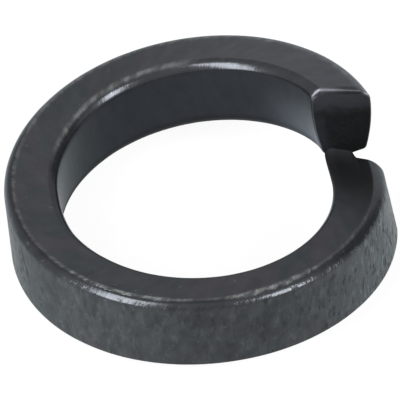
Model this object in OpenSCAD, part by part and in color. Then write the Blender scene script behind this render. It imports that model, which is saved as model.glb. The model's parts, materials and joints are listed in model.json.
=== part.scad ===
// Spring lock washer: one turn of tall, heavy wire, cut through on one side, its ends sprung apart.
// The coil is left-handed: it falls as it goes round counter-clockwise, seen from above, so that
// its sharp ends bite when a right-hand screw starts to turn back.
// The origin is the middle of the hole, +Z is along the hole, and the split lies at +X.

/* [Hole and wire] */
// Diameter of the hole, a free fit over a 16 mm screw
hole_d = 16.3; // [10:0.1:24]
// Width of the wire, measured outwards from the hole
wire_w = 2.85; // [2.2:0.05:5]
// Height of the wire, measured along the hole, at the middle of its width
wire_h = 4.8; // [3:0.1:7]
// How much taller the wire is at the hole than at the outside, from being coiled
keystone = 0.05; // [0:0.05:0.4]

/* [Coil] */
// How far the coil falls in one full turn
coil_pitch = 4.15; // [0.5:0.05:6]
// Width of the split between the two ends, where they pass each other
split_w = 1.2; // [1:0.05:3]

/* [Long edges] */
// Radius of the outside edge at the top
outer_top_r = 0.55; // [0.2:0.05:0.9]
// Radius of the outside edge at the bottom
outer_bottom_r = 0.2; // [0.2:0.05:0.9]
// Radius of the hole's edge at the top
inner_top_r = 0.5; // [0.2:0.05:0.9]
// Radius of the hole's edge at the bottom
inner_bottom_r = 0.9; // [0.2:0.05:1.2]

/* [Cut ends] */
// How far the high end's cut runs round the coil from the outside to the hole, at its top edge
high_top_skew = 1.75; // [0:0.05:2.2]
// The same at the high end's bottom edge, where the cut runs back a little
high_bottom_skew = -0.2; // [-0.4:0.05:1.2]
// How far the low end's cut runs round the coil from the outside to the hole, at its top edge
low_top_skew = 1.95; // [0:0.05:2.1]
// The same at the low end's bottom edge
low_bottom_skew = 1.2; // [0:0.05:2.1]
// How far the low end's bottom edge stands back behind its top edge
low_lean = 1.5; // [0:0.1:2.5]

/* [Hidden] */

// Rings of points round the coil, and steps on each rounded edge and each wall of the wire
ring_count = 81;
edge_steps = 4;
wall_steps = 6;
// The swept wire stands this far past both round walls, which are then cut true
proud = 0.05;

hole_r = hole_d / 2;
outer_r = hole_r + wire_w;
mid_r = hole_r + wire_w / 2;
cutter_h = coil_pitch + 2 * wire_h;

// One rounded edge of the wire, from the wall to the face, as [radius, height] points. The corner
// is the sharp one that it replaces. way is [1, 1] for the top of the outside, and its first
// number is -1 for the hole and its second -1 for the bottom. The first point runs on along its
// facet, to stand proud of the wall.
function edge_point(corner, r, way, a) =
    [corner.x - way.x * r * (1 - cos(a)), corner.y - way.y * r * (1 - sin(a))];
function rounded_edge(wall_r, r, way) =
    let (corner = [wall_r, way.y * wire_h / 2],
         arc = [for (i = [0 : edge_steps]) edge_point(corner, r, way, 90 * i / edge_steps)],
         facet = arc[0] - arc[1],
         first = arc[0] + facet * proud / abs(facet.x))
    [for (i = [0 : edge_steps]) i == 0 ? first : arc[i]];
function reversed(list) = [for (i = [len(list) - 1 : -1 : 0]) list[i]];

// One side of the section, from the bottom face up to the top one. out is 1 for the outside and
// -1 for the hole.
function side(wall_r, bottom_r, top_r, out) =
    let (bottom = reversed(rounded_edge(wall_r, bottom_r, [out, -1])),
         top = rounded_edge(wall_r, top_r, [out, 1]),
         low = bottom[edge_steps],
         wall = [for (i = [1 : wall_steps - 1]) low + (top[0] - low) * i / wall_steps])
    concat(bottom, wall, top);

// Coiling squeezes the wire taller at the hole and flatter at the outside
function keystoned(p) = [p.x, p.y * (1 + keystone / wire_h * (mid_r - p.x) / wire_w)];

outer_side = side(outer_r, outer_bottom_r, outer_top_r, 1);
inner_side = side(hole_r, inner_bottom_r, inner_top_r, -1);
section = [for (p = concat(outer_side, reversed(inner_side))) keystoned(p)];

// How far round the coil each end reaches at one point of the section, as a distance and an angle
function up_wire(p) = p.y / wire_h + 0.5;
function cut_shift(p, bottom_skew, top_skew) =
    (bottom_skew + (top_skew - bottom_skew) * up_wire(p)) * (mid_r - p.x) / wire_w;
function high_end_a(p) =
    let (shift = cut_shift(p, high_bottom_skew, high_top_skew))
    asin((shift + split_w / 2) / p.x);
function low_end_a(p) =
    let (shift = cut_shift(p, low_bottom_skew, low_top_skew))
    360 + asin((shift - split_w / 2 - low_lean * (1 - up_wire(p))) / p.x);

// A point of the section carried round the coil, where t is 0 at the high end and 1 at the low end
function coil_z(a) = coil_pitch * (0.5 - a / 360);
function coil_point(p, t) =
    let (a = high_end_a(p) + (low_end_a(p) - high_end_a(p)) * t)
    [p.x * cos(a), p.x * sin(a), p.y + coil_z(a)];

module coil() {
    n = len(section);
    rows = len(outer_side);
    last = (ring_count - 1) * n;
    points = [for (k = [0 : ring_count - 1]) for (p = section) coil_point(p, k / (ring_count - 1))];
    sides = [for (k = [0 : n : last - n]) for (i = [0 : n - 1])
        let (j = (i + 1) % n) [k + i, k + j, k + n + j, k + n + i]];
    high_end = [for (i = [0 : rows - 2]) [n - 1 - i, n - 2 - i, i + 1, i]];
    low_end = [for (i = [0 : rows - 2]) [last + i, last + i + 1, last + n - 2 - i, last + n - 1 - i]];
    polyhedron(points, concat(sides, high_end, low_end), convexity = 4);
}

module washer() {
    color([0.25, 0.26, 0.28])
    difference() {
        intersection() {
            coil();
            cylinder(r = outer_r, h = cutter_h, center = true, $fn = 180);
        }
        cylinder(r = hole_r, h = cutter_h, center = true, $fn = 180);
    }
}

washer();
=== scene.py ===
# %% [markdown]
# # A spring lock washer, coiled from heavy wire
#
# A spring lock washer is one turn of tall, heavy spring steel wire. The maker coils the wire round
# a mandrel, shears it through on one side and hardens it, so that the two ends stay sprung apart.
# A dark phosphate coat then keeps the rust off.
#
# This lesson makes the washer in the same order: a straight bar, rounded along its edges, bent
# round into a coil, sheared at both ends, and then coated. The bar and the bending are one
# Geometry Nodes tree, because the whole shape follows a rule.

import json
import math

import bpy
from mathutils import Matrix, Vector


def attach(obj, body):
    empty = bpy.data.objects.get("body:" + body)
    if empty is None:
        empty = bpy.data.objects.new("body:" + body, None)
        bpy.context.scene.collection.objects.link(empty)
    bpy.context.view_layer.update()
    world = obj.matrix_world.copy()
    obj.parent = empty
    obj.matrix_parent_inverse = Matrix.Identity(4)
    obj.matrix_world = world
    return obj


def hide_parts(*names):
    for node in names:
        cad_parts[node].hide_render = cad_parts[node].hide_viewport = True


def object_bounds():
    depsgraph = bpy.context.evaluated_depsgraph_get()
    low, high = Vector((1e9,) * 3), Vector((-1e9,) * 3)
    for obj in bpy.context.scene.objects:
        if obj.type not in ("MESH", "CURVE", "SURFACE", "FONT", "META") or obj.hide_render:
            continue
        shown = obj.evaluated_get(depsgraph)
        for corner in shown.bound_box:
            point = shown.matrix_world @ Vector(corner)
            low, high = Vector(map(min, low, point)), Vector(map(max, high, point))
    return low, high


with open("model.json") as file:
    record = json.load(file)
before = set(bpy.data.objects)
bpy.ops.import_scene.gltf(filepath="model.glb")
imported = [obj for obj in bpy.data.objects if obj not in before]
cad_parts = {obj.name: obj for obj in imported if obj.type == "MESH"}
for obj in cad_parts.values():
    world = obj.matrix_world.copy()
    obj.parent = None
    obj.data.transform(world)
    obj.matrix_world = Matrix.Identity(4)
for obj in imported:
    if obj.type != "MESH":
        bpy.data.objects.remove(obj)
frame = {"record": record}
cad_low, cad_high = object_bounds()
print("frame box in mm:", [round(1000 * side, 2) for side in (cad_high - cad_low)])

# %% [markdown]
# ## The sizes
#
# Blender works in metres here. The hole comes from the record's bore and the outside from the
# frame's box. The other sizes are the ones that a maker would set: how tall the wire is, how far
# the coil falls in one turn, how wide the split is and how round each long edge is.

# %% Sizes of the washer
MM = 0.001

bore = next(mount for mount in frame["record"]["mounts"] if mount["name"] == "bore")
hole_radius = bore["dims"]["r_mm"] * MM
outer_radius = cad_high.x
wire_width = outer_radius - hole_radius

wire_height = 4.8 * MM
keystone = 0.05 * MM
coil_pitch = 4.15 * MM
split_width = 1.2 * MM

outer_top_edge = 0.52 * MM
outer_bottom_edge = 0.2 * MM
inner_top_edge = 0.5 * MM
inner_bottom_edge = 0.9 * MM
# The hole's top edge is rounder by this much at the back, and the outside's at the low end.
inner_edge_swell = 0.13 * MM
outer_edge_swell = 0.18 * MM

# How far each cut runs round from the outside to the hole, and how far the low cut leans back.
high_top_skew = 1.75 * MM
high_bottom_skew = -0.2 * MM
low_top_skew = 1.95 * MM
low_bottom_skew = 1.2 * MM
low_end_lean = 1.5 * MM

# What the shear does to the wire dies away over about this length, in mm.
END_FADE_MM = 4.9

print("wire in mm:", round(wire_width / MM, 2), "wide and", wire_height / MM, "tall")

# %% [markdown]
# ## Formulas in a node tree
#
# A node tree is a formula drawn as boxes. A long formula is easier to read as a line of text, so
# a Term stands for one output socket, and adding or multiplying two Terms adds the node that
# does it. The same Terms serve the geometry tree and the materials.


# %% Terms: numbers that live in a node tree
class Term:
    """A value in a node tree that is added, multiplied and so on like a plain number."""

    def __init__(self, tree, socket):
        self.tree = tree
        self.socket = socket

    def __add__(self, other):
        return calculate(self.tree, "ADD", self, other)

    def __radd__(self, other):
        return calculate(self.tree, "ADD", other, self)

    def __sub__(self, other):
        return calculate(self.tree, "SUBTRACT", self, other)

    def __rsub__(self, other):
        return calculate(self.tree, "SUBTRACT", other, self)

    def __mul__(self, other):
        return calculate(self.tree, "MULTIPLY", self, other)

    def __rmul__(self, other):
        return calculate(self.tree, "MULTIPLY", other, self)

    def __truediv__(self, other):
        return calculate(self.tree, "DIVIDE", self, other)

    def __neg__(self):
        return 0.0 - self


def plug(tree, value, socket):
    """Puts a Term, a socket or a plain value into one input socket."""
    if isinstance(value, Term):
        tree.links.new(value.socket, socket)
    elif isinstance(value, bpy.types.NodeSocket):
        tree.links.new(value, socket)
    else:
        socket.default_value = value


def calculate(tree, operation, *values):
    """One Math node, as a Term."""
    node = tree.nodes.new("ShaderNodeMath")
    node.operation = operation
    for value, socket in zip(values, node.inputs):
        plug(tree, value, socket)
    return Term(tree, node.outputs["Value"])


def smallest(a, b):
    return calculate(a.tree, "MINIMUM", a, b)


def largest(a, b):
    return calculate(a.tree, "MAXIMUM", a, b)


def size_of(a):
    return calculate(a.tree, "ABSOLUTE", a)


def root(a):
    return calculate(a.tree, "SQRT", a)


def power(a, exponent):
    return calculate(a.tree, "POWER", a, exponent)


def rounded_reach(a, b, exponent):
    """The reach of a corner point: exponent 2 is a true circle, and 1 is a flat chamfer."""
    return power(power(size_of(a), exponent) + power(size_of(b), exponent), 1 / exponent)


def sine(a):
    return calculate(a.tree, "SINE", a)


def cosine(a):
    return calculate(a.tree, "COSINE", a)


def arc_sine(a):
    return calculate(a.tree, "ARCSINE", a)


def is_over(a, limit):
    """1 where a is over the limit, and 0 elsewhere."""
    return calculate(a.tree, "GREATER_THAN", a, limit)


def between(start, end, share):
    """The value that lies this share of the way from start to end."""
    return start + (end - start) * share


def limited(a, low, high):
    return smallest(largest(a, low), high)


def rising(a, low, high):
    """0 under low, 1 over high, and a smooth climb from one to the other."""
    node = a.tree.nodes.new("ShaderNodeMapRange")
    node.interpolation_type = "SMOOTHSTEP"
    plug(a.tree, a, node.inputs["Value"])
    plug(a.tree, low, node.inputs["From Min"])
    plug(a.tree, high, node.inputs["From Max"])
    return Term(a.tree, node.outputs["Result"])


def fading(distance, length):
    """1 at no distance, dying away over this length, as 1 / e for each length gone."""
    return calculate(distance.tree, "EXPONENT", -distance / length)


def over_stretch(distance, stretch):
    """1 in the middle of a stretch, fading to 0 at both ends of it."""
    start, full, full_end, end = stretch
    return rising(distance, start, full) * rising(distance, end, full_end)


def share_at_back(round_turn):
    """1 at the back of the coil, a quarter turn from the high end, and 0 at the front."""
    return power(0.5 + 0.5 * sine(round_turn), 2.0)


def split_vector(tree, vector):
    """The X, Y and Z of a vector socket, as Terms."""
    node = tree.nodes.new("ShaderNodeSeparateXYZ")
    plug(tree, vector, node.inputs["Vector"])
    return [Term(tree, socket) for socket in node.outputs]


def join_vector(tree, x, y, z):
    node = tree.nodes.new("ShaderNodeCombineXYZ")
    for value, socket in zip((x, y, z), node.inputs):
        plug(tree, value, socket)
    return node.outputs["Vector"]


def tell(tree, made):
    """Prints what was made last, and how many nodes its tree has by now."""
    print(made + ", nodes so far:", len(tree.nodes))


# %% [markdown]
# ## The bar before it is coiled
#
# The Mesh Cube node gives a closed box whose faces are already cut into a fine grid, ends and
# all. Every point of it then knows its place on the straight bar: how far along it lies, how far
# across from the outside to the hole, and how far up. A spin or a swept curve would make the long
# faces too, but not the two ends, and here the ends are what everybody looks at.
#
# The long edges are rounded by one rule. A point near an edge is pulled onto a curve round the
# middle of that edge's fillet, and every other point stays where it is. The curve lies between a
# circle and a chamfer, because rolled wire has flattened corners, and these mirror a lamp broadly.
# The rounding isn't the same all round: it swells at the hole's edge at the back of the coil, and
# at the outside's edge near the low end.

# %% The washer's node tree and its named inputs
washer_sizes = {
    "Hole Radius": hole_radius,
    "Wire Width": wire_width,
    "Wire Height": wire_height,
    "Keystone": keystone,
    "Coil Pitch": coil_pitch,
    "Split Width": split_width,
    "Outer Top Edge": outer_top_edge,
    "Outer Bottom Edge": outer_bottom_edge,
    "Inner Top Edge": inner_top_edge,
    "Inner Bottom Edge": inner_bottom_edge,
    "Inner Edge Swell": inner_edge_swell,
    "Outer Edge Swell": outer_edge_swell,
    "High Top Skew": high_top_skew,
    "High Bottom Skew": high_bottom_skew,
    "Low Top Skew": low_top_skew,
    "Low Bottom Skew": low_bottom_skew,
    "Low End Lean": low_end_lean,
    "Cut Edge": 0.08 * MM,
    "Rolled Edge": 0.25 * MM,
    "End Fade": END_FADE_MM * MM,
    "Bulge Fade": 1.7 * MM,
    "Tip Fade": 1.2 * MM,
    "Surface Relief": 0.010 * MM,
    "Break Relief": 0.05 * MM,
}
washer_counts = {
    "Steps Along": 540,
    "Steps Across": 28,
    "Steps Up": 46,
    "Seed": 7,
}


def new_tree_with_inputs(name, sizes, counts):
    """An empty Geometry Nodes tree with one input for each size and each whole number."""
    tree = bpy.data.node_groups.new(name, "GeometryNodeTree")
    tree.is_modifier = True
    for label, value in sizes.items():
        entry = tree.interface.new_socket(label, in_out="INPUT", socket_type="NodeSocketFloat")
        entry.default_value = value
    for label, value in counts.items():
        entry = tree.interface.new_socket(label, in_out="INPUT", socket_type="NodeSocketInt")
        entry.default_value = value
    tree.interface.new_socket("Geometry", in_out="OUTPUT", socket_type="NodeSocketGeometry")
    return tree


coil_tree = new_tree_with_inputs("coiled_wire", washer_sizes, washer_counts)
entry_node = coil_tree.nodes.new("NodeGroupInput")
size = {label: Term(coil_tree, entry_node.outputs[label]) for label in washer_sizes}
count = {label: Term(coil_tree, entry_node.outputs[label]) for label in washer_counts}
print("inputs of the tree:", len(size) + len(count))


# %% The bar as a closed box with a fine grid
bar = coil_tree.nodes.new("GeometryNodeMeshCube")
bar.inputs["Size"].default_value = (1.0, 1.0, 1.0)
plug(coil_tree, count["Steps Along"] + 1, bar.inputs["Vertices X"])
plug(coil_tree, count["Steps Across"] + 1, bar.inputs["Vertices Y"])
plug(coil_tree, count["Steps Up"] + 1, bar.inputs["Vertices Z"])

place = coil_tree.nodes.new("GeometryNodeInputPosition").outputs["Position"]
along, across, up = split_vector(coil_tree, place)
middle_radius = size["Hole Radius"] + size["Wire Width"] / 2
wire_length = 2 * math.pi * middle_radius
tell(coil_tree, "bar")

# %% Rings packed closer together at the two ends
# A plain power of the distance from the middle leaves the middle even and squeezes the last
# few rings together, where the sheared edges are rounded.
END_POWER = 30
END_SQUEEZE = 0.028
from_middle = 2 * along
eased = from_middle * (1 + END_SQUEEZE - END_SQUEEZE * power(size_of(from_middle), END_POWER))
turn = 0.5 + eased / 2
from_high_end = turn * wire_length
from_low_end = (1 - turn) * wire_length
tell(coil_tree, "rings")

# %% Rounded long edges
EDGE_EXPONENT = 1.75
at_hole = is_over(across, 0)
at_top = is_over(up, 0)
round_turn = 2 * math.pi * turn
near_low = fading(from_low_end, size["End Fade"])
outer_top_here = size["Outer Top Edge"] + size["Outer Edge Swell"] * near_low
inner_top_here = size["Inner Top Edge"] + size["Inner Edge Swell"] * share_at_back(round_turn)
top_edge = between(outer_top_here, inner_top_here, at_hole)
bottom_edge = between(size["Outer Bottom Edge"], size["Inner Bottom Edge"], at_hole)
edge_radius = between(bottom_edge, top_edge, at_top)


def quarter_round(distance, edge):
    """How far a surface has dropped at this distance before an edge that is rounded off."""
    short = edge - smallest(distance, edge)
    return edge - root(largest(edge * edge - short * short, 0))


# The last rings before each cut shrink a little, so that no sheared edge is as sharp as a knife.
from_cut = smallest(from_high_end, from_low_end)
shrink = quarter_round(from_cut, size["Cut Edge"])
half_width = size["Wire Width"] / 2 - shrink
half_height = size["Wire Height"] / 2 - shrink
round_radius = edge_radius - shrink

out = 2 * across * half_width
rise = 2 * up * half_height
flat_out = limited(out, round_radius - half_width, half_width - round_radius)
flat_rise = limited(rise, round_radius - half_height, half_height - round_radius)
past_out = out - flat_out
past_rise = rise - flat_rise
reach = rounded_reach(past_out, past_rise, EDGE_EXPONENT)
pull = largest(size_of(past_out), size_of(past_rise)) / largest(reach, 1e-9)
inward = flat_out + past_out * pull
upward = flat_rise + past_rise * pull

# At the high end the blade also rolls the top edge over before it bites, more so at the hole.
ROLLED_MORE = 0.9
share_in = inward / size["Wire Width"]
rolled = quarter_round(from_high_end, size["Rolled Edge"] * (1 + ROLLED_MORE * share_in))
upward = upward - rolled * (upward / size["Wire Height"] + 0.5)
tell(coil_tree, "rounded edges")

# %% [markdown]
# ## Bending the bar round
#
# The coil falls as it goes round counter-clockwise, seen from above, so it is left-handed: its
# sharp ends bite when a right-hand screw starts to turn back. The shear doesn't cut straight
# across. Its cut runs at a slant, from the outside at one place round to the hole at another,
# and it slants more at the top than at the bottom.

# %% What the shear does to the section near each cut
share_up = upward / size["Wire Height"] + 0.5


def spread(outer_bottom, outer_top, inner_top, inner_bottom):
    """How far the section is pushed outwards, blended from its four corners, given in mm."""
    outer = between(outer_bottom * MM, outer_top * MM, share_up)
    inner = between(inner_bottom * MM, inner_top * MM, share_up)
    return between(outer, inner, share_in + 0.5)


def bulge(outer, inner):
    """How far both walls bulge at mid-height, away from the wire's middle, given in mm."""
    out_share = largest(-2 * share_in, 0.0) * (outer * MM)
    in_share = largest(2 * share_in, 0.0) * (inner * MM)
    return 4 * share_up * (1 - share_up) * (out_share - in_share)


near_high = fading(from_high_end, size["End Fade"])
sheared = near_high * spread(-0.24, 0.0, 0.10, 0.14)
sheared = sheared + near_low * spread(0.44, -0.04, -0.50, 0.28)
sheared = sheared + fading(from_low_end, size["Tip Fade"]) * spread(0.0, 0.0, 0.42, 0.0)
sheared = sheared + fading(from_high_end, size["Bulge Fade"]) * bulge(0.22, 0.33)
tell(coil_tree, "sheared section")

# %% The coil and its two cuts
# The wire isn't equally wide all round: its width swings once and twice in a turn. Only the
# hole's side shows it.
SWING_ONCE = 0.056 * MM
SWING_TWICE = 0.065 * MM
wider = SWING_ONCE * sine(round_turn) + SWING_TWICE * cosine(2 * round_turn)
# On the left, and at the back on the way to the high end, the hole's wall leans in at the top.
# A stretch is given in millimetres from the high end: where it starts, is full, fades and ends.
LEAN_LEFT = 0.29 * MM
LEAN_LEFT_STRETCH = (15.5, 22.5, 27.0, 32.0)
LEAN_BACK = 0.22 * MM
LEAN_BACK_ANGLE = 0.85
leaning_left = LEAN_LEFT * over_stretch(from_high_end / MM, LEAN_LEFT_STRETCH)
leaning_back = LEAN_BACK * power(0.5 + 0.5 * cosine(round_turn - LEAN_BACK_ANGLE), 8.0)
leaning = (leaning_left + leaning_back) * share_up
radius = middle_radius - inward - (wider + leaning) * (share_in + 0.5) + sheared

half_split = size["Split Width"] / 2
high_slant = between(size["High Bottom Skew"], size["High Top Skew"], share_up) * share_in
low_slant = between(size["Low Bottom Skew"], size["Low Top Skew"], share_up) * share_in
lean = size["Low End Lean"] * (1 - share_up)
start_angle = arc_sine((high_slant + half_split) / radius)
stop_angle = 2 * math.pi + arc_sine((low_slant - half_split - lean) / radius)
angle = between(start_angle, stop_angle, turn)
tell(coil_tree, "coil and cuts")

# %% Small faults of a real coil
# The coil sags a little between its ends and at the high one, and it isn't quite round. Its wire
# is taller at the back than at the front. Near both cuts the section is turned a little, with the
# hole's side up. What changes round the coil is a sum of swings, once and twice in a turn.
SAG = 0.06 * MM
SWAY = 0.02 * MM
ROLL_HIGH = 0.03
ROLL_LOW = 0.13
TALLER_AT_HIGH_END = 0.16 * MM
BURR = 0.50 * MM
BURR_FADE = 0.7 * MM
sagging = SAG * (sine(math.pi * turn) + near_high) + SWAY * sine(round_turn)
roll = (ROLL_HIGH * near_high + ROLL_LOW * near_low) * inward
taller = MM * (0.05 + 0.25 * sine(angle) - 0.126 * cosine(angle) + 0.05 * cosine(2 * angle))
taller = taller + TALLER_AT_HIGH_END * near_high
# Where the shear let go last, the low end's top edge is drawn up into a burr on the hole's side.
burr = BURR * share_up * fading(from_low_end, BURR_FADE) * rising(share_in, -0.05, -0.01)
out_of_round = MM * (0.045 * sine(2 * angle) + 0.10 * cosine(2 * angle))

tall = upward * (1 + size["Keystone"] / size["Wire Height"] * share_in)
fall = size["Coil Pitch"] * (0.5 - angle / (2 * math.pi))
height = tall * (1 + taller / size["Wire Height"]) + fall + roll + burr - sagging
place_radius = radius + out_of_round
coiled_place = join_vector(
    coil_tree, place_radius * cosine(angle), place_radius * sine(angle), height
)
tell(coil_tree, "small faults")


# %% What each point remembers of the straight bar
def remember(tree, geometry, label, data_type, domain, value):
    """Stores a named attribute on the geometry."""
    node = tree.nodes.new("GeometryNodeStoreNamedAttribute")
    node.data_type = data_type
    node.domain = domain
    node.inputs["Name"].default_value = label
    plug(tree, geometry, node.inputs["Geometry"])
    plug(tree, value, node.inputs["Value"])
    return node.outputs["Geometry"]


bar_place = join_vector(coil_tree, from_high_end / MM, inward / MM, upward / MM)
CUT_FACE_REACH = 0.4999
on_cut_face = is_over(size_of(along), CUT_FACE_REACH)
marked = remember(coil_tree, bar.outputs["Mesh"], "cut_face", "BOOLEAN", "FACE", on_cut_face)
marked = remember(coil_tree, marked, "bar_place", "FLOAT_VECTOR", "POINT", bar_place)
tell(coil_tree, "marks on the bar")


# %% Coil it
bend = coil_tree.nodes.new("GeometryNodeSetPosition")
plug(coil_tree, marked, bend.inputs["Geometry"])
plug(coil_tree, coiled_place, bend.inputs["Position"])
tell(coil_tree, "bent bar")

# %% [markdown]
# ## Small relief of the metal
#
# Drawn and hardened wire isn't glass smooth. Its faces roll by a hundredth of a millimetre, and
# the two breaks are coarse, because the shear cuts only the first part of the wire and the rest
# tears. The relief is real geometry, made by moving each point a little along its normal.


# %% Soft random patches, for the relief and for the materials
def noise(tree, place, grain, seed, detail=2.0):
    """Random patches about one grain across, from 0 to 1 around a half."""
    node = tree.nodes.new("ShaderNodeTexNoise")
    node.noise_dimensions = "4D"
    plug(tree, place, node.inputs["Vector"])
    plug(tree, seed, node.inputs["W"])
    node.inputs["Scale"].default_value = 1 / grain
    node.inputs["Detail"].default_value = detail
    return Term(tree, node.outputs[0])


# %% Move the points along their normals
recalled = coil_tree.nodes.new("GeometryNodeInputNamedAttribute")
recalled.data_type = "FLOAT_VECTOR"
recalled.inputs["Name"].default_value = "bar_place"
kept_place = recalled.outputs["Attribute"]
kept_along, kept_inward, kept_upward = split_vector(coil_tree, kept_place)

from_cut_mm = smallest(kept_along, wire_length / MM - kept_along)
from_walls_mm = smallest(
    size["Wire Width"] / (2 * MM) - size_of(kept_inward),
    size["Wire Height"] / (2 * MM) - size_of(kept_upward),
)
# A break is torn in its middle and smooth along its rim.
ON_BREAK_MM = 0.001
inside_break = calculate(coil_tree, "LESS_THAN", from_cut_mm, ON_BREAK_MM)
torn_share = inside_break * rising(from_walls_mm, 0.1, 0.45)
rolling = noise(coil_tree, kept_place, 2.2, count["Seed"], detail=1.0) - 0.5
dimples = noise(coil_tree, kept_place, 0.5, count["Seed"] + 1) - 0.5
torn = noise(coil_tree, kept_place, 0.7, count["Seed"] + 2, detail=4.0) - 0.5
offset = size["Surface Relief"] * (2 * rolling + dimples)
offset = offset + size["Break Relief"] * 2 * torn * torn_share

normal = split_vector(coil_tree, coil_tree.nodes.new("GeometryNodeInputNormal").outputs["Normal"])
roughen = coil_tree.nodes.new("GeometryNodeSetPosition")
plug(coil_tree, bend.outputs["Geometry"], roughen.inputs["Geometry"])
plug(coil_tree, join_vector(coil_tree, *[offset * n for n in normal]), roughen.inputs["Offset"])
tell(coil_tree, "relief")

# %% [markdown]
# ## The phosphate coat
#
# Phosphate grows on steel as a dark, very fine crystal crust and is then oiled. It is almost
# black, slightly blue, and neither shiny nor flat. Close up it is mottled, with darker flecks
# drawn out along the wire. Where the washer rubs against its neighbours in the box, at the lines
# where a flat face turns into a rounded edge, the crust is worn through to brighter steel. Over
# the stretches where these lines mirror the softboxes, that brighter steel is partly a painted
# highlight. Some darker and paler places of the coat are painted shade and painted light.
#
# The patterns read the place that each point had on the straight bar, so they bend with the
# wire. That place was stored in millimetres, which makes the size of each grain plain to read.


# %% Helpers for the two materials
def new_surface(name):
    """An empty material with one Principled shader."""
    material = bpy.data.materials.new(name)
    material.use_nodes = True
    tree = material.node_tree
    tree.nodes.clear()
    shader = tree.nodes.new("ShaderNodeBsdfPrincipled")
    output = tree.nodes.new("ShaderNodeOutputMaterial")
    tree.links.new(shader.outputs["BSDF"], output.inputs["Surface"])
    return material, tree, shader


def bar_coordinates(tree):
    """The place on the straight bar, in millimetres."""
    node = tree.nodes.new("ShaderNodeAttribute")
    node.attribute_name = "bar_place"
    return node.outputs["Vector"]


def stretched(tree, vector, x, y, z):
    """The same coordinates, with a pattern's grains x, y and z times as long along each axis."""
    node = tree.nodes.new("ShaderNodeMapping")
    plug(tree, vector, node.inputs["Vector"])
    node.inputs["Scale"].default_value = (1 / x, 1 / y, 1 / z)
    return node.outputs["Vector"]


def mixed(tree, share, first, second):
    """A colour that goes from the first to the second as share goes from 0 to 1."""
    node = tree.nodes.new("ShaderNodeMix")
    node.data_type = "RGBA"
    plug(tree, share, node.inputs[0])
    plug(tree, first, node.inputs[6])
    plug(tree, second, node.inputs[7])
    return node.outputs[2]


def bumped(tree, height, depth):
    """A normal for relief too fine for the mesh. depth is how deep a height of 1 is, in metres."""
    node = tree.nodes.new("ShaderNodeBump")
    node.inputs["Distance"].default_value = depth
    plug(tree, height, node.inputs["Height"])
    return node.outputs["Normal"]


# %% Where each part of the coat lies on the bar
# Distances are in millimetres. Each part is 1 where it lies, and 0 elsewhere.
coat, coat_tree, coat_shader = new_surface("phosphate_coat")
bar_mm = bar_coordinates(coat_tree)
along_mm, inward_mm, upward_mm = split_vector(coat_tree, bar_mm)

half_width_mm = wire_width / MM / 2
half_height_mm = wire_height / MM / 2
bar_length_mm = math.pi * (hole_radius + outer_radius) / MM
mm_to_low_end = bar_length_mm - along_mm
mm_from_outside = inward_mm + half_width_mm
mm_from_hole = half_width_mm - inward_mm
mm_from_top = half_height_mm - upward_mm
mm_from_bottom = half_height_mm + upward_mm

near_top = rising(mm_from_top, 0.20, 0.08)
on_outside = rising(mm_from_outside, 0.22, 0.02)
on_inside = rising(mm_from_hole, 0.14, 0.02)
low_end_swell = fading(mm_to_low_end, END_FADE_MM)
back_swell = share_at_back(2 * math.pi / bar_length_mm * along_mm)
outer_edge_mm = outer_top_edge / MM + outer_edge_swell / MM * low_end_swell
inner_edge_mm = inner_top_edge / MM + inner_edge_swell / MM * back_swell
on_outer_edge = rising(mm_from_outside - outer_edge_mm, 0.03, -0.10)
on_outer_edge = on_outer_edge * rising(mm_from_top, 0.62, 0.30)
on_inner_edge = rising(mm_from_hole - inner_edge_mm, 0.0, -0.12)
on_inner_edge = on_inner_edge * rising(mm_from_top, 0.62, 0.35)
on_either_edge = largest(on_outer_edge, on_inner_edge)
on_hole_foot = rising(mm_from_hole, 0.90, 0.70) * rising(mm_from_bottom, 1.2, 0.7)
tell(coat_tree, "parts of the coat")

# %% Broad patches, fine crystals and the marks of drawing
patches = noise(coat_tree, bar_mm, 2.6, 11.0, detail=3.0)
crystals = noise(coat_tree, bar_mm, 0.13, 12.0)
taller_mm = stretched(coat_tree, bar_mm, 0.8, 1.0, 1.2)
clouds = noise(coat_tree, taller_mm, 0.9, 17.0, detail=3.0)

# The outside shows dark flecks and pale specks, most of them upright, and thickest towards the
# low end. Lengths along the bar are in millimetres from the high end.
FLECKED_FROM = 49.0
narrowed_mm = stretched(coat_tree, bar_mm, 0.45, 1.0, 1.2)
fleck_zones = 0.25 + 0.35 * rising(noise(coat_tree, bar_mm, 2.0, 18.0), 0.36, 0.58)
fleck_zones = fleck_zones + 0.55 * rising(along_mm, FLECKED_FROM - 3, FLECKED_FROM + 3)
flecks = rising(noise(coat_tree, narrowed_mm, 0.55, 13.0, detail=4.0), 0.52, 0.66) * fleck_zones
smudges = rising(noise(coat_tree, narrowed_mm, 0.9, 19.0, detail=3.0), 0.52, 0.70)
scuffs = rising(noise(coat_tree, narrowed_mm, 0.45, 15.0, detail=4.0), 0.52, 0.66)
scuffs = scuffs * (0.3 + 1.15 * rising(along_mm, FLECKED_FROM + 2, FLECKED_FROM + 8))

# A few small knocks show on the faces.
knocks = rising(noise(coat_tree, bar_mm, 0.34, 23.0), 0.66, 0.74)

# Streaks comb the rounded edges, straight up and over them.
combed_mm = stretched(coat_tree, bar_mm, 0.11, 0.5, 0.5)
streaks = noise(coat_tree, combed_mm, 1.0, 14.0)
tell(coat_tree, "patterns")

# %% The lines where the top face turns into the rounded edges
# They stand a little proud, and they are rubbed over some stretches of the coil, where they also
# carry a painted highlight of the softboxes. These are given in millimetres from the high end, as
# the lean of the hole's wall was.
LEFT_WEAR_AND_GLINT = (33.5, 38.0, 40.5, 43.0)
RIGHT_WEAR_AND_GLINT = (43.5, 46.0, 48.5, 50.5)
INNER_WEAR_AND_GLINT = (9.0, 13.0, 21.0, 25.0)
UNSHADED_LEE = (34.0, 37.0, 40.0, 43.0)
LEE_SHARE = 0.72

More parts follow.
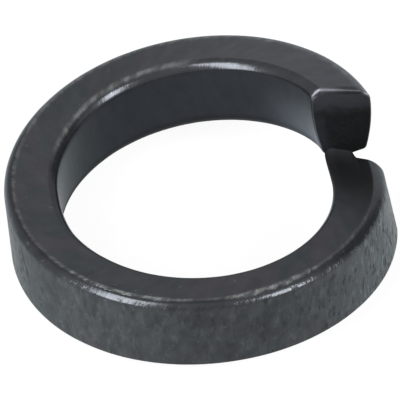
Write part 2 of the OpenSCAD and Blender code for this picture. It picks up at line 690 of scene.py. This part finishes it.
wobble = noise(coat_tree, bar_mm, 1.1, 16.0) - 0.5
jitter = noise(coat_tree, bar_mm, 0.3, 21.0) - 0.5
ragged_mm = 0.12 * wobble + 0.16 * jitter
outer_line = size_of(mm_from_outside - outer_edge_mm + ragged_mm)
inner_line = size_of(mm_from_hole - inner_edge_mm + 0.18 + ragged_mm)
away_from_low_end = rising(mm_to_low_end, 1.5, 6.0)
right_wear_and_glint = over_stretch(along_mm, RIGHT_WEAR_AND_GLINT)
outer_wear_and_glint = largest(over_stretch(along_mm, LEFT_WEAR_AND_GLINT), right_wear_and_glint)
inner_wear_and_glint = over_stretch(along_mm, INNER_WEAR_AND_GLINT)
ridge_width = 0.18 + 0.10 * right_wear_and_glint
outer_ridge = rising(outer_line, ridge_width, 0.02) * near_top * away_from_low_end
outer_ridge = outer_ridge * (0.22 + 0.78 * outer_wear_and_glint)
inner_ridge = rising(inner_line, 0.24, 0.02) * near_top * inner_wear_and_glint
halved_mm = stretched(coat_tree, bar_mm, 0.5, 1.0, 1.0)
patchy = 0.25 + 0.75 * rising(noise(coat_tree, halved_mm, 0.8, 20.0), 0.35, 0.6)
specks = rising(noise(coat_tree, bar_mm, 0.32, 22.0), 0.38, 0.62)
# The pale line is worn steel, and over those stretches also a painted highlight.
rubbed_and_glint = outer_ridge * (0.25 + 0.75 * specks) * patchy
rubbed_and_glint = rubbed_and_glint + 0.44 * inner_ridge * (0.4 + 0.6 * rising(clouds, 0.40, 0.60))
# A painted shade lies in the lee of that line, on the outer side of it.
lee_shade_line = size_of(mm_from_outside - LEE_SHARE * outer_edge_mm + ragged_mm)
lee_shade = rising(lee_shade_line, 0.15, 0.0) * rising(mm_from_top, 0.3, 0.2) * away_from_low_end
lee_shade = lee_shade * (1 - 0.8 * over_stretch(along_mm, UNSHADED_LEE))
tell(coat_tree, "lines with wear and painted light")

# %% The colour of the coat
WARM_CRUST = (0.0384, 0.0358, 0.0402, 1.0)
COOL_CRUST = (0.0308, 0.0340, 0.0370, 1.0)
OUTSIDE_CRUST = (0.0360, 0.0398, 0.0432, 1.0)
BLUE_CRUST = (0.057, 0.057, 0.065, 1.0)
INSIDE_CRUST = (0.0138, 0.0164, 0.0200, 1.0)
EDGE_CRUST = (0.039, 0.042, 0.047, 1.0)
# The darkest crust is mixed in below for every painted shade.
PAINTED_SHADE_CRUST = (0.0070, 0.0070, 0.0078, 1.0)
FLECK = (0.012, 0.013, 0.014, 1.0)
SCUFF = (0.080, 0.102, 0.095, 1.0)
WORN_STEEL_AND_GLINT = (0.34, 0.36, 0.35, 1.0)
SHADED_EDGE_STRETCH = (47.0, 52.0, 55.0, 58.0)
SHEEN_EDGE_STRETCH = (22.0, 25.0, 28.0, 32.0)
crust = mixed(coat_tree, rising(patches, 0.38, 0.62), WARM_CRUST, COOL_CRUST)
crust = mixed(coat_tree, 0.8 * rising(along_mm, 18.0, 5.0), crust, BLUE_CRUST)
crust = mixed(coat_tree, 0.8 * on_outside, crust, OUTSIDE_CRUST)
crust = mixed(coat_tree, 0.9 * on_inside, crust, INSIDE_CRUST)
crust = mixed(coat_tree, 0.8 * on_either_edge, crust, EDGE_CRUST)
crust = mixed(coat_tree, 0.35 * smudges * on_outside, crust, FLECK)
crust = mixed(coat_tree, 0.65 * flecks * on_outside, crust, FLECK)
crust = mixed(coat_tree, 0.60 * scuffs * on_outside, crust, SCUFF)
# Painted shade darkens both rounded edges, for the darker things that they mirror, less so near
# the low end. The outside's edge is painted pale instead, as a painted sheen, from the high end
# round to the back, and no painted shade is left there.
sheen_rim = on_outer_edge * rising(along_mm, 26.0, 20.0)
shaded_hole_edge = on_inner_edge * rising(mm_to_low_end, 5.0, 20.0)
shaded_outer_edge = (on_outer_edge - sheen_rim) * rising(mm_to_low_end, 1.0, 9.0)
edge_and_lee_shade = 0.35 * largest(shaded_outer_edge, shaded_hole_edge) + 0.25 * lee_shade
crust = mixed(coat_tree, edge_and_lee_shade, crust, PAINTED_SHADE_CRUST)
# Painted shade: the lower part of the outside's rounded edge is darker on the way to the low end.
shaded_lower_edge = on_outer_edge * rising(mm_from_top, 0.10, 0.25) * over_stretch(along_mm, SHADED_EDGE_STRETCH)
crust = mixed(coat_tree, 0.25 * shaded_lower_edge, crust, PAINTED_SHADE_CRUST)
crust = mixed(coat_tree, 0.35 * knocks * (1 - on_inside), crust, SCUFF)
# Worn steel along the lines, partly a painted highlight of the softboxes.
crust = mixed(coat_tree, 0.55 * rubbed_and_glint, crust, WORN_STEEL_AND_GLINT)
# Painted shade keeps the low end dark where the high end hangs over it, all but its rounded outer
# edge.
shaded_low_end = rising(mm_to_low_end, 8.0, 1.8) * rising(mm_from_outside - outer_edge_mm, -0.10, 0.04)
crust = mixed(coat_tree, shaded_low_end, crust, PAINTED_SHADE_CRUST)
# Painted shade darkens the foot of the hole's wall as well.
crust = mixed(coat_tree, 0.6 * on_hole_foot, crust, PAINTED_SHADE_CRUST)
# Painted shade darkens the outer half of the high end's rolled edge too, but not the outside's own
# edge.
off_outer_rim = rising(mm_from_outside, 0.25, 0.55)
shaded_tip = rising(along_mm, 0.6, 0.3) * rising(mm_from_outside, 1.9, 1.1)
shaded_tip = shaded_tip * rising(mm_from_top, 1.0, 0.8) * off_outer_rim
crust = mixed(coat_tree, 0.6 * shaded_tip, crust, PAINTED_SHADE_CRUST)
# Painted shade darkens the very brink of it too, just above the break.
shaded_brink = rising(along_mm, 0.07, 0.03) * rising(mm_from_top, 1.2, 1.0)
shaded_brink = shaded_brink * rising(mm_from_hole, 0.3, 0.6) * off_outer_rim
crust = mixed(coat_tree, 0.8 * shaded_brink, crust, PAINTED_SHADE_CRUST)
tell(coat_tree, "colour of the crust")

# %% Lighter and darker places of the coat
# Each line says how much lighter than its crust a place is, as a share.
GRAIN = 0.14
CLOUDS = 0.6
CLOUDS_OUTSIDE = 0.5
BLOTCH = 0.24
BLOTCH_LENGTH = 18.0
PAINTED_LIGHT_LOW_END = 0.32
PAINTED_SHEEN_HOLE = 2.8
PAINTED_SHEEN_RIM = 1.0
PAINTED_SHEEN_EDGE = 3.4
lighter = 1 + GRAIN * (crystals - 0.5) + CLOUDS * (clouds - 0.5)
# Painted light makes the outside paler on the way to the low end, and a painted reflection makes
# the lower part of the hole's wall near the high end paler.
lighter = lighter + PAINTED_LIGHT_LOW_END * rising(along_mm, 50.0, 57.0) * on_outside
sheen_hole = rising(along_mm, 7.0, 1.0) * rising(mm_from_top, 0.8, 3.8) * on_inside
lighter = lighter + PAINTED_SHEEN_HOLE * sheen_hole
# A painted sheen makes the outside's edge paler from the high end round to the back.
lighter = lighter + PAINTED_SHEEN_RIM * sheen_rim
# A painted reflection makes the lower half of the outside's rounded edge on the left as pale as
# the wall under it.
sheen_edge = on_outer_edge * rising(mm_from_top, 0.06, 0.36) * over_stretch(along_mm, SHEEN_EDGE_STRETCH)
lighter = lighter + PAINTED_SHEEN_EDGE * sheen_edge
# The barrel that the washers tumbled in left the outside lighter and darker by turns.
blotches = BLOTCH * cosine(2 * math.pi / BLOTCH_LENGTH * along_mm)
lighter = lighter + (blotches + CLOUDS_OUTSIDE * (clouds - 0.5)) * on_outside

shade = coat_tree.nodes.new("ShaderNodeVectorMath")
shade.operation = "SCALE"
plug(coat_tree, crust, shade.inputs[0])
plug(coat_tree, lighter, shade.inputs["Scale"])
plug(coat_tree, shade.outputs["Vector"], coat_shader.inputs["Base Color"])
tell(coat_tree, "shading of the crust")

# %% The gloss and the fine relief of the coat
# Handling polishes the rounded edges, so they mirror a lamp as a crisp streak. The round walls
# are smoother than the top face, and oil dulls the low end and the foot of the hole.
FACE_ROUGHNESS = 0.52
EDGE_ROUGHNESS = 0.21
OUTSIDE_ROUGHNESS = 0.34
HOLE_ROUGHNESS = 0.32
OILY_ROUGHNESS = 0.60
roughness = between(FACE_ROUGHNESS, OUTSIDE_ROUGHNESS, on_outside)
roughness = between(roughness, HOLE_ROUGHNESS, on_inside)
roughness = between(roughness, EDGE_ROUGHNESS, on_either_edge)
roughness = between(roughness, OILY_ROUGHNESS, largest(shaded_low_end, on_hole_foot))
roughness = roughness + 0.05 * (crystals - 0.5) + 0.08 * (streaks - 0.5)
roughness = roughness + 0.35 * flecks * on_outside
plug(coat_tree, roughness, coat_shader.inputs["Roughness"])

coat_height = 0.03 * crystals + 0.5 * patches
coat_height = coat_height + (0.2 * scuffs - 1.0 * flecks + 0.6 * clouds) * on_outside
coat_height = coat_height + outer_ridge * (0.5 + 0.8 * streaks) + 0.3 * inner_ridge
coat_height = coat_height + 0.22 * on_either_edge * streaks
COAT_DEPTH = 0.03 * MM
plug(coat_tree, bumped(coat_tree, coat_height, COAT_DEPTH), coat_shader.inputs["Normal"])
coat_shader.inputs["Metallic"].default_value = 0.7
coat_shader.inputs["Specular IOR Level"].default_value = 0.25
coat_shader.inputs["Specular Tint"].default_value = (0.64, 0.69, 0.71, 1.0)
tell(coat_tree, "coat")

# %% The two breaks
broken, broken_tree, broken_shader = new_surface("sheared_break")
break_mm = bar_coordinates(broken_tree)
_, break_inward, break_upward = split_vector(broken_tree, break_mm)
tear_grain = noise(broken_tree, break_mm, 0.5, 21.0, detail=4.0)
grit = noise(broken_tree, break_mm, 0.12, 22.0)
# The shear burnishes a band along the top, and a strip on the hole's side, before the rest tears.
torn_rim = 0.9 * (tear_grain - 0.5)
strip_edge = half_width_mm - 0.75
strip = rising(break_inward + 0.5 * torn_rim, strip_edge, strip_edge + 0.5)
strip = strip * rising(break_upward + torn_rim, 1.2, 0.2)
burnished = rising(break_upward + torn_rim, 0.5, 1.8) * (1 - 0.5 * strip)
DARK_TEAR = (0.0026, 0.0028, 0.0031, 1.0)
PALE_TEAR = (0.0065, 0.0066, 0.0070, 1.0)
BURNISHED = (0.0125, 0.0132, 0.0155, 1.0)
torn_colour = mixed(broken_tree, grit, DARK_TEAR, PALE_TEAR)
bright_share = largest(burnished, 0.38 * strip)
break_colour = mixed(broken_tree, bright_share, torn_colour, BURNISHED)
plug(broken_tree, break_colour, broken_shader.inputs["Base Color"])
plug(broken_tree, 0.7 - 0.35 * burnished, broken_shader.inputs["Roughness"])
break_height = tear_grain * (1 - 0.7 * burnished) + 0.2 * grit
BREAK_DEPTH = 0.05 * MM
plug(broken_tree, bumped(broken_tree, break_height, BREAK_DEPTH), broken_shader.inputs["Normal"])
broken_shader.inputs["Specular IOR Level"].default_value = 0.0
tell(broken_tree, "breaks")


# %% Finish the tree: realize, smooth and set the materials
def set_material(tree, geometry, material, selection=None):
    """A Set Material node, for the whole geometry or for the faces selected."""
    node = tree.nodes.new("GeometryNodeSetMaterial")
    plug(tree, geometry, node.inputs["Geometry"])
    node.inputs["Material"].default_value = material
    if selection is not None:
        plug(tree, selection, node.inputs["Selection"])
    return node.outputs["Geometry"]


smooth = coil_tree.nodes.new("GeometryNodeSetShadeSmooth")
plug(coil_tree, roughen.outputs["Geometry"], smooth.inputs["Geometry"])
realize = coil_tree.nodes.new("GeometryNodeRealizeInstances")
plug(coil_tree, smooth.outputs["Geometry"], realize.inputs["Geometry"])
cut_face = coil_tree.nodes.new("GeometryNodeInputNamedAttribute")
cut_face.data_type = "BOOLEAN"
cut_face.inputs["Name"].default_value = "cut_face"
coated = set_material(coil_tree, realize.outputs["Geometry"], coat)
finished = set_material(coil_tree, coated, broken, cut_face.outputs["Attribute"])
exit_node = coil_tree.nodes.new("NodeGroupOutput")
plug(coil_tree, finished, exit_node.inputs["Geometry"])
print("nodes in the washer's tree:", len(coil_tree.nodes))


# %% Run the tree and keep the result as a plain mesh
def made_by(tree, name, values):
    """A plain mesh object made by a Geometry Nodes tree with these input values."""
    carrier = bpy.data.objects.new(name + "_tree", bpy.data.meshes.new(name + "_tree"))
    bpy.context.scene.collection.objects.link(carrier)
    modifier = carrier.modifiers.new("nodes", "NODES")
    modifier.node_group = tree
    for entry in tree.interface.items_tree:
        if entry.in_out == "INPUT":
            modifier[entry.identifier] = values[entry.name]
    graph = bpy.context.evaluated_depsgraph_get()
    mesh = bpy.data.meshes.new_from_object(
        carrier.evaluated_get(graph), preserve_all_data_layers=True, depsgraph=graph
    )
    carrier.modifiers.remove(modifier)
    bpy.data.objects.remove(carrier)
    mesh.name = name
    piece = bpy.data.objects.new(name, mesh)
    bpy.context.scene.collection.objects.link(piece)
    return piece


washer = made_by(coil_tree, "coiled_washer", {**washer_sizes, **washer_counts})
corners = [vertex.co for vertex in washer.data.vertices]
print("points:", len(corners), "faces:", len(washer.data.polygons))

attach(washer, "root")
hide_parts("washer")

# %% [markdown]
# ## The floor
#
# The washer doesn't lie flat. It stands on the corner of its low end and on the far side of the
# coil, so the table is tilted against the washer's own axis by about 7 degrees. Tilting the
# floor instead of the washer keeps the washer in its frame.
#
# The floor is seen as white, with a little of the real light mixed in so that the shadow stays.
# From below it isn't seen at all, so that the underside can be looked at too.

# %% The table that the washer rests on
table_up = Vector((0.0873, -0.0882, 0.9923)).normalized()
table_height = min(corner.dot(table_up) for corner in corners)
TABLE_RADIUS = 0.35
TABLE_SIDES = 96

rim_angles = [2 * math.pi * k / TABLE_SIDES for k in range(TABLE_SIDES)]
rim = [(TABLE_RADIUS * math.cos(a), TABLE_RADIUS * math.sin(a), 0.0) for a in rim_angles]
table_mesh = bpy.data.meshes.new("table")
table_mesh.from_pydata(rim, [], [list(range(TABLE_SIDES))])
tilt = table_up.to_track_quat("Z", "Y").to_matrix().to_4x4()
table_mesh.transform(Matrix.Translation(table_height * table_up) @ tilt)
table = bpy.data.objects.new("table", table_mesh)
bpy.context.scene.collection.objects.link(table)
print("table touches the washer at", round(table_height / MM, 2), "mm along its normal")


# %% A floor that is white to look at and keeps the shadow
def seen_ray(tree):
    """1 for a ray that carries a picture: from the camera, off a gloss or through glass.
    The second value is 1 for the camera's own rays only."""
    path = tree.nodes.new("ShaderNodeLightPath")
    camera_ray, gloss_ray, glass_ray = [
        Term(tree, path.outputs[label])
        for label in ("Is Camera Ray", "Is Glossy Ray", "Is Transmission Ray")
    ]
    return smallest(camera_ray + gloss_ray + glass_ray, 1.0), camera_ray


def shaders_mixed(tree, share, first, second):
    node = tree.nodes.new("ShaderNodeMixShader")
    plug(tree, share, node.inputs[0])
    plug(tree, first, node.inputs[1])
    plug(tree, second, node.inputs[2])
    return node.outputs["Shader"]


paper = bpy.data.materials.new("white_paper")
paper.use_nodes = True
paper_tree = paper.node_tree
paper_tree.nodes.clear()
matt = paper_tree.nodes.new("ShaderNodeBsdfDiffuse")
matt.inputs["Color"].default_value = (0.8, 0.8, 0.8, 1.0)
glow = paper_tree.nodes.new("ShaderNodeEmission")
glow.inputs["Color"].default_value = (1.0, 1.0, 1.0, 1.0)
glow.inputs["Strength"].default_value = 1.0
clear = paper_tree.nodes.new("ShaderNodeBsdfTransparent")
seen, by_camera = seen_ray(paper_tree)
behind = Term(paper_tree, paper_tree.nodes.new("ShaderNodeNewGeometry").outputs["Backfacing"])
GLOW_SHARE = 0.92
lit = shaders_mixed(paper_tree, seen * GLOW_SHARE, matt.outputs["BSDF"], glow.outputs["Emission"])
shown = shaders_mixed(paper_tree, behind * by_camera, lit, clear.outputs["BSDF"])
paper_output = paper_tree.nodes.new("ShaderNodeOutputMaterial")
plug(paper_tree, shown, paper_output.inputs["Surface"])
table_mesh.materials.append(paper)
tell(paper_tree, "white paper")

# %% The world: white to look at, and a soft grey light on the washer
world = bpy.data.worlds.new("studio")
world.use_nodes = True
bpy.context.scene.world = world
world_tree = world.node_tree
world_tree.nodes.clear()
backdrop = world_tree.nodes.new("ShaderNodeBackground")
backdrop.inputs["Color"].default_value = (1.0, 1.0, 1.0, 1.0)
seen, _ = seen_ray(world_tree)
AMBIENT = 0.25
plug(world_tree, between(AMBIENT, 1.0, seen), backdrop.inputs["Strength"])
world_output = world_tree.nodes.new("ShaderNodeOutputWorld")
plug(world_tree, backdrop.outputs["Background"], world_output.inputs["Surface"])
tell(world_tree, "studio")

# %% [markdown]
# ## Two softboxes and a grey card
#
# Dark gloss shows its shape by what it mirrors. Two low softboxes, left and right of the camera,
# put one bright streak each on the rounded edges. Their place follows from the mirror rule: the
# edge's normal lies halfway between the camera and the lamp.
#
# The washer's right side would mirror the white room and look pale. A grey card stands beside it
# for that. Only reflections show the card, so it hides nothing and throws no shadow.


# %% Lamps
def direction(azimuth, elevation):
    """A unit vector. Azimuth 0 is towards -Y and 90 towards +X, in degrees."""
    a = math.radians(azimuth)
    e = math.radians(elevation)
    return Vector((math.sin(a) * math.cos(e), -math.cos(a) * math.cos(e), math.sin(e)))


def softbox(name, azimuth, elevation, distance, width, height, radiance):
    """A rectangular lamp that faces the origin. radiance 1 looks as bright as white paper."""
    lamp = bpy.data.lights.new(name, "AREA")
    lamp.shape = "RECTANGLE"
    lamp.size = width
    lamp.size_y = height
    lamp.energy = radiance * math.pi * width * height
    holder = bpy.data.objects.new(name, lamp)
    towards = direction(azimuth, elevation)
    holder.location = towards * distance
    holder.rotation_mode = "QUATERNION"
    holder.rotation_quaternion = towards.to_track_quat("Z", "Y")
    bpy.context.scene.collection.objects.link(holder)
    print(name, "has a power of", round(lamp.energy, 2), "W")


STAGE_DISTANCE = 0.5
softbox("left_softbox", -61.0, 32.0, STAGE_DISTANCE, width=0.20, height=0.54, radiance=21.0)
softbox("right_softbox", 35.0, 24.0, STAGE_DISTANCE, width=0.165, height=0.31, radiance=25.0)


# %% A grey card to the right of the washer
def card(name, azimuth, elevation, distance, width, height, glow_strength):
    """An upright card that faces the origin. Only glossy surfaces see it, as a darker stretch."""
    towards = direction(azimuth, elevation)
    half_w = width / 2
    half_h = height / 2
    mesh = bpy.data.meshes.new(name)
    mesh.from_pydata(
        [(-half_w, -half_h, 0), (half_w, -half_h, 0), (half_w, half_h, 0), (-half_w, half_h, 0)],
        [],
        [(0, 1, 2, 3)],
    )
    facing = (-towards).to_track_quat("Z", "Y").to_matrix().to_4x4()
    mesh.transform(Matrix.Translation(towards * distance) @ facing)
    material = bpy.data.materials.new(name)
    material.use_nodes = True
    tree = material.node_tree
    tree.nodes.clear()
    glow = tree.nodes.new("ShaderNodeEmission")
    glow.inputs["Strength"].default_value = glow_strength
    output = tree.nodes.new("ShaderNodeOutputMaterial")
    tree.links.new(glow.outputs["Emission"], output.inputs["Surface"])
    mesh.materials.append(material)
    holder = bpy.data.objects.new(name, mesh)
    bpy.context.scene.collection.objects.link(holder)
    holder.visible_camera = False
    holder.visible_diffuse = False
    holder.visible_shadow = False
    print(name, "is", width, "by", height, "m")


card("grey_card", 97.5, 20.0, STAGE_DISTANCE, width=0.35, height=0.46, glow_strength=0.1)

# %% [markdown]
# ## The camera
#
# A small part is shot from far away with a long lens, so that it shows almost no perspective.

# %% The camera
camera_azimuth = -15.8
camera_elevation = 40.1
camera_roll = -6.8
camera_distance = 66.7 * outer_radius
SENSOR_WIDTH = 36.0
# The washer's outside radius, as a share of the frame's width.
RADIUS_IN_FRAME = 0.47225
# How far right of the middle of the hole the camera aims, and how far above, in outside radii.
AIM_RIGHT = 0.018528
AIM_ABOVE = 0.009529

camera_data = bpy.data.cameras.new("camera")
camera_data.sensor_width = SENSOR_WIDTH
camera_data.lens = SENSOR_WIDTH * RADIUS_IN_FRAME * camera_distance / outer_radius
camera_data.clip_start = 0.1 * camera_distance
camera_data.clip_end = 10 * camera_distance
camera = bpy.data.objects.new("camera", camera_data)
bpy.context.scene.collection.objects.link(camera)

towards_camera = direction(camera_azimuth, camera_elevation)
level_right = Vector((0.0, 0.0, 1.0)).cross(towards_camera).normalized()
level_up = towards_camera.cross(level_right)
roll_angle = math.radians(camera_roll)
right = level_right * math.cos(roll_angle) + level_up * math.sin(roll_angle)
above = level_up * math.cos(roll_angle) - level_right * math.sin(roll_angle)
aim = (AIM_RIGHT * right + AIM_ABOVE * above) * outer_radius
turned = Matrix((right, above, towards_camera)).transposed().to_4x4()
camera.matrix_world = Matrix.Translation(aim + towards_camera * camera_distance) @ turned
bpy.context.scene.camera = camera
bpy.context.scene.view_settings.view_transform = "Standard"
print("lens in mm:", round(camera_data.lens))
